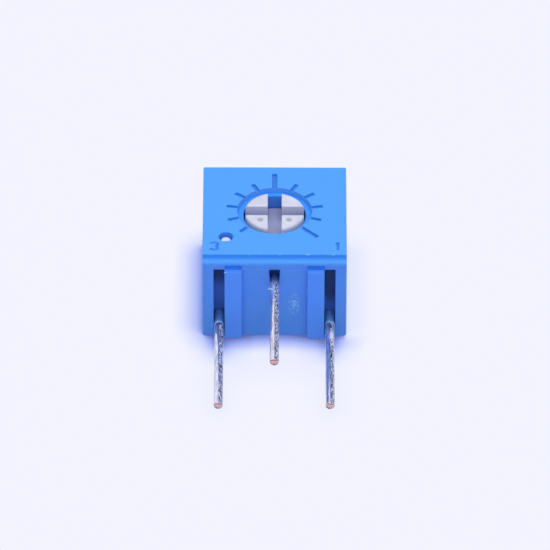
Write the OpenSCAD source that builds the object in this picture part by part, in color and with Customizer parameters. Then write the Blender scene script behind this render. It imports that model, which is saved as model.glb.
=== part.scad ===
// Square single-turn trimmer potentiometer, lying on its back with the dial up.
// The origin is the centre of the back face, on the rotor's axis. +Z points out of the dial,
// and the three wires leave the front wall toward -Y.

/* [Housing] */
// Width of the housing
body_w = 6.60; // [6.5:0.05:7.2]
// Depth of the dial plate, from its front edge to the back wall
plate_d = 6.60; // [6.4:0.05:7.2]
// Height from the back face to the dial
body_h = 4.50; // [4.3:0.02:4.9]
// How far the front wall stands ahead of the dial plate
wall_step = 0.20; // [0.12:0.02:0.24]
// Height of the dial plate's front edge above the shoulder
edge_h = 0.27; // [0.15:0.01:0.30]
// How far the wall below the lintel stands ahead of it
lintel_step = 0.03; // [0.01:0.01:0.06]

/* [Standoff ribs] */
// Width of a standoff rib
rib_w = 0.79; // [0.6:0.01:0.85]
// How far a rib stands ahead of the front wall
rib_out = 0.24; // [0.15:0.01:0.35]
// Height of the relief above a rib
relief_h = 0.19; // [0.1:0.01:0.2]
// Depth of the relief above a rib
relief_depth = 0.11; // [0.06:0.01:0.2]

/* [Wires] */
// Distance between neighbouring wires, along and across the row
grid = 2.54; // [2.50:0.01:2.58]
// Diameter of the tinned wire
wire_dia = 0.41; // [0.36:0.01:0.44]
// Thickness of the tin on it
tin_t = 0.01; // [0.005:0.001:0.015]
// Length of wire ahead of the front wall
wire_len = 5.89; // [4:0.1:12]
// Height of the outer wires' axes above the back face
wire_z = 0.56; // [0.50:0.01:0.60]

/* [Wire slots] */
// Width of the slots round the outer wires
side_slot_w = 0.50; // [0.47:0.01:0.52]
// Width of the slot above the middle wire
mid_slot_w = 0.50; // [0.46:0.01:0.52]
// Height of the straight sides of the slot above the middle wire
mid_slot_side = 0.28; // [0.2:0.01:0.32]
// Distance from the slots' top down from the dial
slot_drop = 0.69; // [0.66:0.01:0.75]
// Depth of the outer slots from the front wall
side_slot_depth = 0.90; // [0.5:0.02:0.96]

/* [Dial] */
// Radius of the sunken ring round the rotor
ring_r = 1.72; // [1.65:0.01:1.85]
// Depth of the sunken ring
ring_depth = 0.27; // [0.15:0.01:0.4]
// Number of graduation grooves
tick_count = 11; // [5:2:13]
// Outer radius of an ordinary groove
tick_r = 2.24; // [2.1:0.02:2.4]
// Outer radius of the long grooves
tick_long_r = 2.80; // [2.5:0.02:2.9]
// Width of a groove
tick_w = 0.20; // [0.14:0.01:0.24]
// Depth of the grooves
tick_depth = 0.10; // [0.05:0.01:0.15]

/* [Corner hole] */
// Radius of the corner hole
hole_r = 0.33; // [0.3:0.01:0.38]
// Depth of the corner hole
hole_depth = 0.42; // [0.35:0.01:0.6]
// Depth of the stake's end below the dial
stake_drop = 0.20; // [0.1:0.01:0.3]

/* [Rotor] */
// Radius of the rotor's head
head_r = 1.386; // [1.25:0.002:1.4]
// Radial clearance of the head in the dial
head_gap = 0.060; // [0.03:0.001:0.09]
// Width of the cross slot
cross_w = 0.64; // [0.4:0.02:0.8]
// Depth of the cross slot
cross_depth = 0.92; // [0.5:0.02:1.0]
// Radius of the two dimples in the head
dimple_r = 0.13; // [0.08:0.01:0.16]
// Radius of the flange inside the housing
flange_r = 2.05; // [1.9:0.01:2.1]
// Thickness of the flange
flange_t = 0.95; // [0.7:0.01:1.0]
// Angle through which the rotor turns
travel = 270; // [200:5:290]

/* [Element] */
// Thickness of the ceramic plate
plate_t = 0.635; // [0.5:0.005:0.7]
// Thickness of the printed conductors and pads
print_t = 0.03; // [0.02:0.005:0.05]
// Inner radius of the resistive arc
track_in_r = 1.62; // [1.5:0.01:1.7]
// Outer radius of the resistive arc
track_out_r = 2.12; // [2.05:0.01:2.2]
// Thickness of the sheet that the wiper is stamped from
spring_t = 0.08; // [0.05:0.01:0.1]

/* [Hidden] */
$fn = 64;

// a little more than a face, so that a cut passes right through it
over = 0.1;
// running gap at the ends of the rotor and beside loose parts
gap = 0.05;

// planes of the front wall
plate_y = -plate_d / 2;
lintel_y = plate_y - wall_step;
wall_y = lintel_y - lintel_step;
seat_y = wall_y - rib_out;
tip_y = wall_y - wire_len;
back_y = plate_d / 2;

// heights of the front wall
shoulder_z = body_h - edge_h - wall_step;
slot_top = body_h - slot_drop;
rib_edge = grid - side_slot_w / 2;
slot_foot_z = wire_z + side_slot_w / 2;
relief_inset = 0.02;

// the wires, from the height of the outer pair
wire_r = wire_dia / 2;
core_r = wire_r - tin_t;
mid_wire_z = wire_z + grid;
bend_r = wire_r + gap;
skin_t = 0.28;
channel_y = wall_y + skin_t;
drop_y = channel_y + gap + core_r;
mid_root_y = drop_y - bend_r;
channel_d = wire_dia + 2 * gap;

// the ceramic plate lies on the outer wires, on a film of solder
film_t = 0.015;
pad_z = wire_z + core_r + film_t;
plate_z = pad_z + print_t;
face_z = plate_z + plate_t;
ledge_z = face_z + print_t;
rim_w = 0.35;
web_t = 0.20;
plate_w = body_w - 2 * rim_w - 2 * gap;
pocket_y = channel_y + channel_d + web_t;
plate_front_y = pocket_y + print_t + gap;
plate_back_y = back_y - rim_w - gap;

// the rotor and its chamber
hole_bearing_r = head_r + head_gap;
lug_out = 0.40;
lug_r = flange_r + lug_out;
chamber_r = lug_r + gap;
cross_z = body_h - cross_depth;
cross_floor_t = 0.27;
flange_top = cross_z - cross_floor_t;
flange_z = flange_top - flange_t;
chamber_z = flange_top + gap;
lug_angle = 40;
stop_play = 2;
stop_angle = 360 - travel - lug_angle - stop_play;
head_round = 0.06;
dimple_x = 0.66;
dimple_y = -0.68;
dimple_depth = 0.08;

// the corner hole and the stake in it
stake_x = -2.23;
stake_y = -1.94;
stake_r = 0.23;
stake_gap = 0.01;
stake_bore_r = stake_r + stake_gap;

// the dial
tick_step = travel / (tick_count - 1);
tick_top_extra = 0.03;

// the printed layers: the arc runs a little past the travel, then meets the end pads
track_spare = 16;
track_angle = travel + track_spare;
pad_angle = 15;
collector_out_r = 0.75;
via_r = 0.15;
back_pad_r = 0.45;

// the soldered joints under the plate
side_joint_d = 0.75;
side_joint_y = plate_front_y + gap;
side_end_y = side_joint_y + side_joint_d + gap;
mid_joint_d = 2 * (back_pad_r - gap);
bead_t = 0.13;
bead_end_t = 0.04;
bead_r = core_r + bead_t;
bead_end_r = core_r + bead_end_t;
bead_slope = 0.18;
seal_sag = 0.03;

// the wiper
spring_z = flange_z - spring_t;
spring_out_r = 1.50;
spring_in_r = 0.85;
contact_r = (track_in_r + track_out_r) / 2;
collector_r = 0.525;
finger_w = 0.10;
finger_pitch = 0.15;
finger_root = 0.12;
finger_dip = 0.02;
finger_heel = 0.10;
finger_toe = 0.06;
finger_tip = 0.26;
finger_lift = 0.16;
contact_gap = 0.02;
contact_z = ledge_z + contact_gap;

HOUSING_BLUE = [0.20, 0.47, 0.93];
ROTOR_WHITE = [0.86, 0.84, 0.90];
TINNED = [0.80, 0.80, 0.84];
CERAMIC = [0.93, 0.92, 0.88];
SILVER_INK = [0.78, 0.78, 0.74];
CERMET = [0.16, 0.15, 0.15];
RESIN = [0.16, 0.34, 0.62];

// a box from its lowest to its highest corner
module span(low, high) {
    translate(low) cube(high - low);
}

// a round bar along Y between two places
module bar_y(r, y0, y1) {
    translate([0, y0, 0]) rotate([-90, 0, 0]) cylinder(r = r, h = y1 - y0);
}

// a flat wedge of a circle, centred on +Y, for angles under 180 degrees
module wedge(r, angle) {
    reach = r / cos(angle / 2);
    intersection() {
        circle(r = r);
        polygon([[0, 0], for (s = [1, 0, -1]) reach * [-sin(s * angle / 2), cos(s * angle / 2)]]);
    }
}

// the blank of the housing: dial plate, shoulder, lintel, lower wall and ribs
module housing_blank() {
    side = body_w / 2;
    span([-side, plate_y, 0], [side, back_y, body_h]);
    span([-side, lintel_y, 0], [side, plate_y + over, shoulder_z]);
    translate([-side, plate_y, shoulder_z]) rotate([0, 90, 0]) cylinder(r = wall_step, h = body_w);
    span([-side, wall_y, 0], [side, lintel_y + over, slot_top + lintel_step]);
    for (s = [-1, 1]) {
        rib_mid = s * (rib_edge - rib_w / 2);
        span([rib_mid - rib_w / 2, seat_y, 0], [rib_mid + rib_w / 2, wall_y + over, slot_top]);
    }
}

// the reliefs that the mould leaves above the ribs
module rib_reliefs() {
    for (s = [-1, 1]) {
        rib_mid = s * (rib_edge - rib_w / 2);
        span([rib_mid - rib_w / 2 + relief_inset, wall_y - over, slot_top],
            [rib_mid + rib_w / 2 - relief_inset, lintel_y + relief_depth, slot_top + relief_h]);
    }
}

// the slots of the outer wires, open to the back face and at their feet to the pocket
module side_slots() {
    for (s = [-1, 1]) {
        low_x = s * grid - side_slot_w / 2;
        high_x = s * grid + side_slot_w / 2;
        span([low_x, wall_y - over, -over], [high_x, wall_y + side_slot_depth, slot_top]);
        span([low_x, wall_y - over, -over], [high_x, pocket_y + gap / 2, slot_foot_z]);
    }
}

// the slot above the middle wire narrows to the wire, which bends down in a channel behind it
module mid_slot() {
    half = mid_slot_w / 2;
    shoulder_z = slot_top - mid_slot_side;
    translate([0, channel_y + over, 0]) rotate([90, 0, 0]) linear_extrude(skin_t + 2 * over)
        polygon([[-half, slot_top], [-half, shoulder_z], [0, mid_wire_z + core_r / 2],
            [half, shoulder_z], [half, slot_top]]);
    translate([0, 0, mid_wire_z]) bar_y(wire_r, wall_y - over, channel_y + over);
    span([-half, channel_y, -over], [half, channel_y + channel_d, slot_top]);
    span([-half, channel_y, -over], [half, pocket_y + over, ledge_z]);
}

// the ring and the grooves of the dial
module dial_cuts() {
    floor_z = body_h - ring_depth;
    translate([0, 0, floor_z]) cylinder(r = ring_r, h = ring_depth + over, $fn = 96);
    translate([0, 0, chamber_z - over]) cylinder(r = hole_bearing_r, h = body_h, $fn = 96);
    for (i = [0 : tick_count - 1]) {
        turn = travel / 2 - i * tick_step;
        top = turn == 0;
        reach = top || i == tick_count - 1 ? tick_long_r : tick_r;
        half = (tick_w + (top ? tick_top_extra : 0)) / 2;
        rotate(turn) span([-half, ring_r - over, body_h - tick_depth], [half, reach, body_h + over]);
    }
}

// the chamber for the flange, with the stop left standing at its front, and the pocket behind it
module inner_room() {
    difference() {
        translate([0, 0, face_z]) cylinder(r = chamber_r, h = chamber_z - face_z, $fn = 96);
        translate([0, 0, flange_z + gap]) rotate(180) linear_extrude(flange_t + gap) difference() {
            wedge(chamber_r + over, stop_angle);
            circle(r = flange_r + gap);
        }
    }
    span([-plate_w / 2 - gap, pocket_y, -over], [plate_w / 2 + gap, plate_back_y + gap, ledge_z]);
}

// the room for the outer wires' joints and pads under the ceramic plate
module joint_rooms() {
    half = bead_r + gap;
    for (s = [-1, 1])
        span([s * grid - half, pocket_y, -over], [s * grid + half, side_end_y + gap, ledge_z]);
}

// the corner hole, with the narrow bore that holds the stake below it
module corner_hole() {
    translate([stake_x, stake_y, 0]) {
        translate([0, 0, body_h - hole_depth]) cylinder(r = hole_r, h = hole_depth + over);
        translate([0, 0, ledge_z - over]) cylinder(r = stake_bore_r, h = body_h - ledge_z);
    }
}

module housing() {
    color(HOUSING_BLUE) difference() {
        housing_blank();
        rib_reliefs();
        side_slots();
        mid_slot();
        dial_cuts();
        inner_room();
        joint_rooms();
        corner_hole();
    }
}

// head and flange in one turned profile, then the lug, the cross slot and the dimples
module rotor() {
    color(ROTOR_WHITE) difference() {
        union() {
            rotate_extrude($fn = 96) union() {
                square_to([0, flange_z], [flange_r, flange_top]);
                square_to([0, flange_z], [head_r, body_h - head_round]);
                square_to([0, flange_z], [head_r - head_round, body_h]);
                translate([head_r - head_round, body_h - head_round]) circle(r = head_round, $fn = 32);
            }
            translate([0, 0, flange_z]) linear_extrude(flange_t) difference() {
                wedge(lug_r, lug_angle);
                circle(r = flange_r - over);
            }
        }
        reach = head_r + head_gap / 2;
        for (turn = [0, 90])
            rotate(turn) span([-cross_w / 2, -reach, cross_z], [cross_w / 2, reach, body_h + over]);
        for (s = [-1, 1])
            translate([s * dimple_x, dimple_y, body_h - dimple_depth])
                cylinder(r = dimple_r, h = dimple_depth + over, $fn = 32);
    }
}

// a rectangle between two corners
module square_to(low, high) {
    translate(low) square(high - low);
}

// one finger: a strip that leaves the plate at root_x, touches at x = 0 and turns up at its toe
module finger(root_x) {
    ahead = sign(-root_x);
    path = [[root_x, spring_z], [root_x + ahead * finger_root, spring_z - finger_dip],
        [-ahead * finger_heel, contact_z], [ahead * finger_toe, contact_z],
        [ahead * finger_tip, contact_z + finger_lift]];
    n = len(path);
    rotate([90, 0, 0]) linear_extrude(finger_w, center = true)
        polygon([for (p = path) p, for (i = [n - 1 : -1 : 0]) path[i] + [0, spring_t]]);
}

// stamped ring under the rotor with three fingers on the arc and two on the collector
module wiper_spring() {
    root = -1.10;
    ear_w = 0.26;
    ear_y = 0.80;
    color("silver") union() {
        translate([0, 0, spring_z]) linear_extrude(spring_t) union() {
            difference() {
                circle(r = spring_out_r);
                circle(r = spring_in_r);
            }
            square_to([root, ear_y], [root + ear_w, contact_r + finger_pitch + finger_w / 2]);
        }
        for (i = [-1 : 1]) translate([0, contact_r + i * finger_pitch, 0]) finger(root + ear_w / 2);
        for (i = [-0.5, 0.5]) translate([0, -collector_r + i * finger_pitch, 0]) finger(-root);
    }
}

// ceramic plate with the plated hole at its centre
module substrate() {
    color(CERAMIC) difference() {
        span([-plate_w / 2, plate_front_y, plate_z], [plate_w / 2, plate_back_y, face_z]);
        translate([0, 0, plate_z - over]) cylinder(r = via_r, h = plate_t + 2 * over, $fn = 32);
    }
}

// a ring cut to the arc that the end pads leave free
module track_ring() {
    difference() {
        circle(r = track_out_r, $fn = 96);
        circle(r = track_in_r, $fn = 96);
    }
}

module resistive_track() {
    color(CERMET) translate([0, 0, face_z]) linear_extrude(print_t) difference() {
        track_ring();
        rotate(180) wedge(track_out_r + over, 360 - track_angle);
    }
}

// inner ring, plated hole and back pad in one conductor
module collector_track() {
    color(SILVER_INK) union() {
        translate([0, 0, face_z]) cylinder(r = collector_out_r, h = print_t);
        translate([0, 0, pad_z]) cylinder(r = via_r, h = ledge_z - pad_z, $fn = 32);
        translate([0, 0, pad_z]) cylinder(r = back_pad_r, h = print_t, $fn = 48);
    }
}

// from one end of the arc over the front edge of the ceramic plate to the wire under it
module end_pad(s) {
    inner_x = 0.95;
    outer_x = grid + wire_r;
    lead_y = -track_out_r * cos(180 - track_angle / 2);
    pad_turn = s * (track_angle + pad_angle) / 2;
    color(SILVER_INK) union() {
        translate([0, 0, face_z]) linear_extrude(print_t) {
            intersection() {
                track_ring();
                rotate(-pad_turn) wedge(track_out_r + over, pad_angle);
            }
            square_to([s > 0 ? inner_x : -outer_x, plate_front_y - print_t],
                [s > 0 ? outer_x : -inner_x, lead_y]);
        }
        span([s * grid - wire_r, plate_front_y - print_t, pad_z],
            [s * grid + wire_r, plate_front_y, ledge_z]);
        back_pad(s);
    }
}

// the pad of an outer wire on the back of the ceramic plate
module back_pad(s) {
    span([s * grid - wire_r, plate_front_y - print_t, pad_z],
        [s * grid + wire_r, plate_front_y + side_joint_d + 2 * gap, plate_z]);
}

module end_pad_1() { end_pad(1); }
module end_pad_3() { end_pad(-1); }

// the tin thins away from the seat of the ribs to where the wire is bare
module tin_end(root_y) {
    translate([0, seat_y, 0]) rotate([-90, 0, 0]) cylinder(r1 = wire_r, r2 = core_r, h = root_y - seat_y);
}

// the part of an outer wire behind the seat: bare from the pocket to its end under the plate
module side_core() {
    tin_end(pocket_y);
    bar_y(core_r, pocket_y - over, side_end_y);
}

module side_wire(s) {
    color(TINNED) translate([s * grid, 0, wire_z]) union() {
        bar_y(wire_r, tip_y, seat_y);
        side_core();
    }
}

module pin_1() { side_wire(1); }
module pin_3() { side_wire(-1); }

// a quarter turn of wire in the YZ plane, from +Y round to -Z
module wire_bend() {
    rotate([0, 0, 90]) rotate([90, 0, 0]) rotate_extrude(angle = 90, $fn = 48)
        translate([bend_r, 0]) circle(r = core_r, $fn = 32);
}

// the part of the middle wire behind the seat: it bends down behind the front wall, then under the plate
module mid_core() {
    translate([0, 0, mid_wire_z]) tin_end(mid_root_y);
    translate([0, mid_root_y, mid_wire_z - bend_r]) wire_bend();
    translate([0, drop_y, wire_z + bend_r]) cylinder(r = core_r, h = grid - 2 * bend_r);
    translate([0, drop_y + bend_r, wire_z + bend_r]) rotate([180, 0, 0]) wire_bend();
    translate([0, 0, wire_z]) bar_y(core_r, drop_y + bend_r, back_pad_r);
}

module pin_2() {
    color(TINNED) union() {
        translate([0, 0, mid_wire_z]) bar_y(wire_r, tip_y, seat_y);
        mid_core();
    }
}

// a bead of solder round a wire, cut off where it meets the pad above it
module solder_bead(x, y0, y1) {
    length = y1 - y0;
    translate([x, 0, wire_z]) difference() {
        translate([0, y0, 0]) rotate([-90, 0, 0]) rotate_extrude($fn = 48)
            polygon([[0, 0], [bead_end_r, 0], [bead_r, bead_slope], [bead_r, length - bead_slope],
                [bead_end_r, length], [0, length]]);
        span([-bead_r - over, y0 - over, pad_z - wire_z], [bead_r + over, y1 + over, bead_r + over]);
    }
}

module solder_joint(x, y0, y1) {
    color(TINNED) difference() {
        solder_bead(x, y0, y1);
        translate([x, 0, wire_z]) bar_y(core_r, y0 - over, y1 + over);
    }
}

module solder_1() { solder_joint(grid, side_joint_y, side_joint_y + side_joint_d); }
module solder_2() { solder_joint(0, -mid_joint_d / 2, mid_joint_d / 2); }
module solder_3() { solder_joint(-grid, side_joint_y, side_joint_y + side_joint_d); }

// cast resin, level with the back face, round the wires and up the foot of each outer slot
module back_seal() {
    half_slot = side_slot_w / 2;
    half_plate = plate_w / 2 + gap;
    color(RESIN) difference() {
        union() {
            span([-half_plate, pocket_y, 0], [half_plate, plate_back_y + gap, plate_z]);
            span([-mid_slot_w / 2, channel_y, 0], [mid_slot_w / 2, pocket_y + over, pad_z]);
            for (s = [-1, 1]) translate([s * grid, 0, 0]) {
                span([-half_slot, wall_y, 0], [half_slot, pocket_y + over, wire_z]);
                translate([0, wall_y, wire_z]) rotate([-90, 0, 0])
                    cylinder(r1 = half_slot - seal_sag, r2 = half_slot, h = pocket_y + gap / 2 - wall_y);
            }
        }
        for (s = [-1, 1]) {
            translate([s * grid, 0, wire_z]) side_core();
            solder_bead(s * grid, side_joint_y, side_joint_y + side_joint_d);
            back_pad(s);
        }
        solder_bead(0, -mid_joint_d / 2, mid_joint_d / 2);
        mid_core();
        translate([0, 0, pad_z]) cylinder(r = back_pad_r, h = print_t, $fn = 48);
    }
}

// a metal stub that stands on the ceramic plate in its corner
module corner_stake() {
    color("silver") translate([stake_x, stake_y, ledge_z])
        cylinder(r = stake_r, h = body_h - stake_drop - ledge_z, $fn = 32);
}

housing();
rotor();
wiper_spring();
substrate();
resistive_track();
collector_track();
end_pad_1();
end_pad_3();
pin_1();
pin_2();
pin_3();
solder_1();
solder_2();
solder_3();
back_seal();
corner_stake();
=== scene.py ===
import math

import bmesh
import bpy
from mathutils import Matrix, Vector, noise


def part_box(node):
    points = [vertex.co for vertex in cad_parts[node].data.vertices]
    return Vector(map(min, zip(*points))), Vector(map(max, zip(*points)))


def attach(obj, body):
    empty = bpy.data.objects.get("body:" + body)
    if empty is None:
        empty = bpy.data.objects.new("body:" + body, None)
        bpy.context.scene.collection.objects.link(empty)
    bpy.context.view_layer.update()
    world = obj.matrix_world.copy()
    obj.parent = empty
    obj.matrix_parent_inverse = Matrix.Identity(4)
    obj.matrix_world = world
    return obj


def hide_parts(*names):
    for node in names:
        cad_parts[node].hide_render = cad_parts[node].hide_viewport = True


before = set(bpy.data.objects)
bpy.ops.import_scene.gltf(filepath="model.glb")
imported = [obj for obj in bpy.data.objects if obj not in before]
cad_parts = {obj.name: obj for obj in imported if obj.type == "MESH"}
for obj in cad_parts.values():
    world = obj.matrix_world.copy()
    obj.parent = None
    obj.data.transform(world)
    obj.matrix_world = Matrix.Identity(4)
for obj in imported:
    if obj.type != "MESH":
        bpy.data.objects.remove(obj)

# Every mesh here is worked out in millimetres and scaled to metres when it is finished.
MM = 0.001
# Without a seed the noise vectors that shape the scraps of flash would differ from run to run.
noise.seed_set(3)
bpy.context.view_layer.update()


def node_box(node):
    """A node's lowest and highest corner, in millimetres."""
    low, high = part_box(node)
    return low / MM, high / MM


# Sizes read from the frame

house_low, house_high = node_box("housing")
pin_low, pin_high = node_box("pin_1")
mid_low, mid_high = node_box("pin_2")
rotor_low, rotor_high = node_box("rotor")
seal_low, seal_high = node_box("back_seal")
stake_low, stake_high = node_box("corner_stake")

side = house_high.x
back_y = house_high.y
body_h = house_high.z
seat_y = house_low.y
wire_r = (pin_high.x - pin_low.x) / 2
grid = (pin_high.x + pin_low.x) / 2
wire_z = (pin_high.z + pin_low.z) / 2
tip_y = pin_low.y
side_end_y = pin_high.y
mid_z = mid_high.z - wire_r
mid_end_y = mid_high.y
core_r = wire_z - mid_low.z
head_top = rotor_high.z
flange_z = rotor_low.z

# Sizes of the housing that its box doesn't give, as in the construction

plate_y = -3.30
lintel_y = -3.50
wall_y = -3.53
shoulder_z = body_h - 0.47
shoulder_r = 0.20
step_z = body_h - 0.66
slot_top = body_h - 0.69
rib_in_x, rib_out_x = 1.50, 2.29
relief_h = 0.19
relief_back_y = -3.41
relief_inset = 0.02
side_slot_w = 0.50
side_slot_depth = 0.90
foot_z = wire_z + 0.25
mid_slot_w = 0.50
mid_slot_side = 0.28
channel_y = -3.25
channel_d = 0.51
pocket_y = -2.54
pocket_x = 2.95
pocket_back_y = 2.95
ledge_z = wire_z + 0.905
face_z = wire_z + 0.875
ring_r = 1.72
ring_depth = 0.27
bearing_r = 1.446
chamber_r = 2.50
chamber_z = body_h - 1.14
stop_in_r = 2.10
stop_low_z = flange_z + 0.05
stop_angle = 48
tick_count = 11
tick_travel = 270
tick_r = 2.24
tick_long_r = 2.80
tick_w = 0.20
tick_top_w = 0.23
tick_depth = 0.10
hole_x, hole_y = -2.23, -1.94
hole_r = 0.33
hole_depth = 0.42
stake_bore_r = 0.24

# Sizes of the rotor and of the wires inside

head_r = 1.386
head_round = 0.13
flange_r = 2.05
flange_top = body_h - 1.19
lug_r = 2.45
lug_angle = 40
cross_w = 0.64
cross_z = body_h - 0.92
cross_corner_r = 0.07
dimple_x, dimple_y = 0.66, -0.68
dimple_r = 0.13
dimple_depth = 0.08
drop_y = -3.005
bend_r = 0.255
plate_z = wire_z + 0.24


# Meshes in millimetres

def arc(cx, cy, r, start, end, steps):
    """Points of an arc, its angles in degrees."""
    turns = [math.radians(start + (end - start) * i / steps) for i in range(steps + 1)]
    return [(cx + r * math.cos(t), cy + r * math.sin(t)) for t in turns]


def circle(r, steps=96, cx=0.0, cy=0.0):
    return arc(cx, cy, r, 0, 360, steps)[:-1]


def rounded(corners, steps=4):
    """An outline whose corners (x, y, radius) are rounded, in order against the clock."""
    points, n = [], len(corners)
    for i, (x, y, r) in enumerate(corners):
        if r == 0:
            points.append((x, y))
            continue
        here = Vector((x, y))
        before = (Vector(corners[i - 1][:2]) - here).normalized()
        after = (Vector(corners[(i + 1) % n][:2]) - here).normalized()
        half = before.angle(after) / 2
        centre = here + (before + after).normalized() * (r / math.sin(half))
        first, last = here + before * (r / math.tan(half)), here + after * (r / math.tan(half))
        a, b = first - centre, last - centre
        turn = a.angle_signed(b)
        for k in range(steps + 1):
            p = centre + Matrix.Rotation(-turn * k / steps, 2) @ a
            points.append((p.x, p.y))
    return points


def rectangle(x0, y0, x1, y1, r=0.0):
    return rounded([(x0, y0, r), (x1, y0, r), (x1, y1, r), (x0, y1, r)])


def offset(outline, d):
    """The outline moved outward by d, its corners kept as mitres. The outline runs against the clock."""
    moved, n = [], len(outline)
    for i in range(n):
        p = Vector(outline[i])
        a = (p - Vector(outline[i - 1])).normalized()
        b = (Vector(outline[(i + 1) % n]) - p).normalized()
        out_a, out_b = Vector((a.y, -a.x)), Vector((b.y, -b.x))
        mitre = (out_a + out_b).normalized()
        moved.append(tuple(p + mitre * (d / max(0.2, mitre.dot(out_a)))))
    return moved


def new_object(name, bm):
    mesh = bpy.data.meshes.new(name)
    bm.to_mesh(mesh)
    bm.free()
    made = bpy.data.objects.new(name, mesh)
    bpy.context.scene.collection.objects.link(made)
    return made


def loft(name, rings):
    """A closed solid through rings of points, which all have as many points."""
    bm = bmesh.new()
    rows = [[bm.verts.new(p) for p in ring] for ring in rings]
    n = len(rows[0])
    for low, high in zip(rows, rows[1:]):
        for i in range(n):
            j = (i + 1) % n
            bm.faces.new((low[i], low[j], high[j], high[i]))
    bm.faces.new(list(reversed(rows[0])))
    bm.faces.new(rows[-1])
    bmesh.ops.recalc_face_normals(bm, faces=bm.faces)
    return new_object(name, bm)


def on_dial(x, y, depth):
    """A place in the dial's plane, depth below it."""
    return x, y, body_h - depth


def on_wall(x, z, depth):
    """A place in the front wall's plane, depth behind it."""
    return x, wall_y + depth, z


def lip_sections(lip, steps=3):
    """(offset, depth) from a rounded edge's foot out to the surface."""
    turns = [math.pi / 2 * i / steps for i in range(steps + 1)]
    return [(lip * (1 - math.cos(t)), lip * (1 - math.sin(t))) for t in turns]


def cutter(outline, place, depth, lip=0.02, draft=0.0, over=0.3):
    """A cutter for a recess with a rounded edge: its walls lean by draft and flare out at the surface."""
    sections = [(-draft, depth), *lip_sections(lip), (lip, -over)]
    return loft("cutter", [[place(*p, d) for p in offset(outline, grow)] for grow, d in sections])


def boss(outline, place, height, edge, root=0.1):
    """A raised block with a rounded edge at its top."""
    sections = [(0, root), (0, edge - height)]
    sections += [(edge * (math.cos(t) - 1), edge * (1 - math.sin(t)) - height)
                 for t in (math.pi / 6, math.pi / 3, math.pi / 2)]
    return loft("boss", [[place(*p, d) for p in offset(outline, grow)] for grow, d in sections])


def prism(outline, low, high):
    """An upright solid between two heights."""
    return loft("prism", [[(x, y, z) for x, y in outline] for z in (low, high)])


def box(low, high):
    return prism(rectangle(low[0], low[1], high[0], high[1]), low[2], high[2])


def turned(profile, steps=96, cx=0.0, cy=0.0):
    """A solid of revolution from (radius, height) pairs, with its axis upright."""
    return loft("turned", [[(x, y, z) for x, y in circle(r, steps, cx, cy)] for r, z in profile])


def sweep(name, path, radius, sides=16):
    """A tube along a path in 3-D; radius is a number or a function of the step and the angle."""
    points = [Vector(p) for p in path]
    rings, normal = [], None
    for i, p in enumerate(points):
        ahead = (points[min(i + 1, len(points) - 1)] - points[max(i - 1, 0)]).normalized()
        if normal is None:
            normal = ahead.orthogonal().normalized()
        normal = (normal - ahead * normal.dot(ahead)).normalized()
        across = ahead.cross(normal)
        ring = []
        for k in range(sides):
            t = 2 * math.pi * k / sides
            r = radius(i, t) if callable(radius) else radius
            ring.append(p + (normal * math.cos(t) + across * math.sin(t)) * r)
        rings.append(ring)
    return loft(name, rings)


def combine(target, others, operation):
    """Joins or cuts solids exactly and deletes the tools."""
    for other in others:
        step = target.modifiers.new("step", "BOOLEAN")
        step.operation = operation
        step.solver = "EXACT"
        step.object = other
    bake(target)
    for other in others:
        mesh = other.data
        bpy.data.objects.remove(other)
        bpy.data.meshes.remove(mesh)


def bake(obj):
    """Applies an object's modifiers to its mesh."""
    graph = bpy.context.evaluated_depsgraph_get()
    made = bpy.data.meshes.new_from_object(obj.evaluated_get(graph))
    old = obj.data
    obj.modifiers.clear()
    obj.data = made
    bpy.data.meshes.remove(old)


def smooth(obj, angle=30.0):
    """Shades the mesh smooth apart from its sharp edges, and keeps flat faces flat."""
    mesh = obj.data
    mesh.shade_smooth()
    bm = bmesh.new()
    bm.from_mesh(mesh)
    bmesh.ops.remove_doubles(bm, verts=bm.verts, dist=2e-5)
    bmesh.ops.dissolve_degenerate(bm, edges=bm.edges, dist=2e-5)
    limit = math.radians(angle)
    for edge in bm.edges:
        edge.smooth = len(edge.link_faces) == 2 and edge.calc_face_angle(0) < limit
    bm.to_mesh(mesh)
    bm.free()
    weigh = obj.modifiers.new("weigh", "WEIGHTED_NORMAL")
    weigh.keep_sharp = True
    weigh.weight = 100
    bake(obj)


def finish_piece(obj, name, body, nodes=()):
    """Scales a finished mesh to metres, names it and hangs it on its body."""
    obj.data.transform(Matrix.Scale(MM, 4))
    obj.name = obj.data.name = name
    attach(obj, body)
    if nodes:
        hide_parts(*nodes)


# Shader helpers

def add_node(tree, kind, **settings):
    made = tree.nodes.new(kind)
    for key, value in settings.items():
        setattr(made, key, value)
    return made


def fill_ramp(ramp, stops):
    """Gives a colour ramp its stops, each a position and a colour."""
    while len(ramp.elements) < len(stops):
        ramp.elements.new(0.5)
    for element, (place, colour) in zip(ramp.elements, stops):
        element.position, element.color = place, (*colour, 1)


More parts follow.
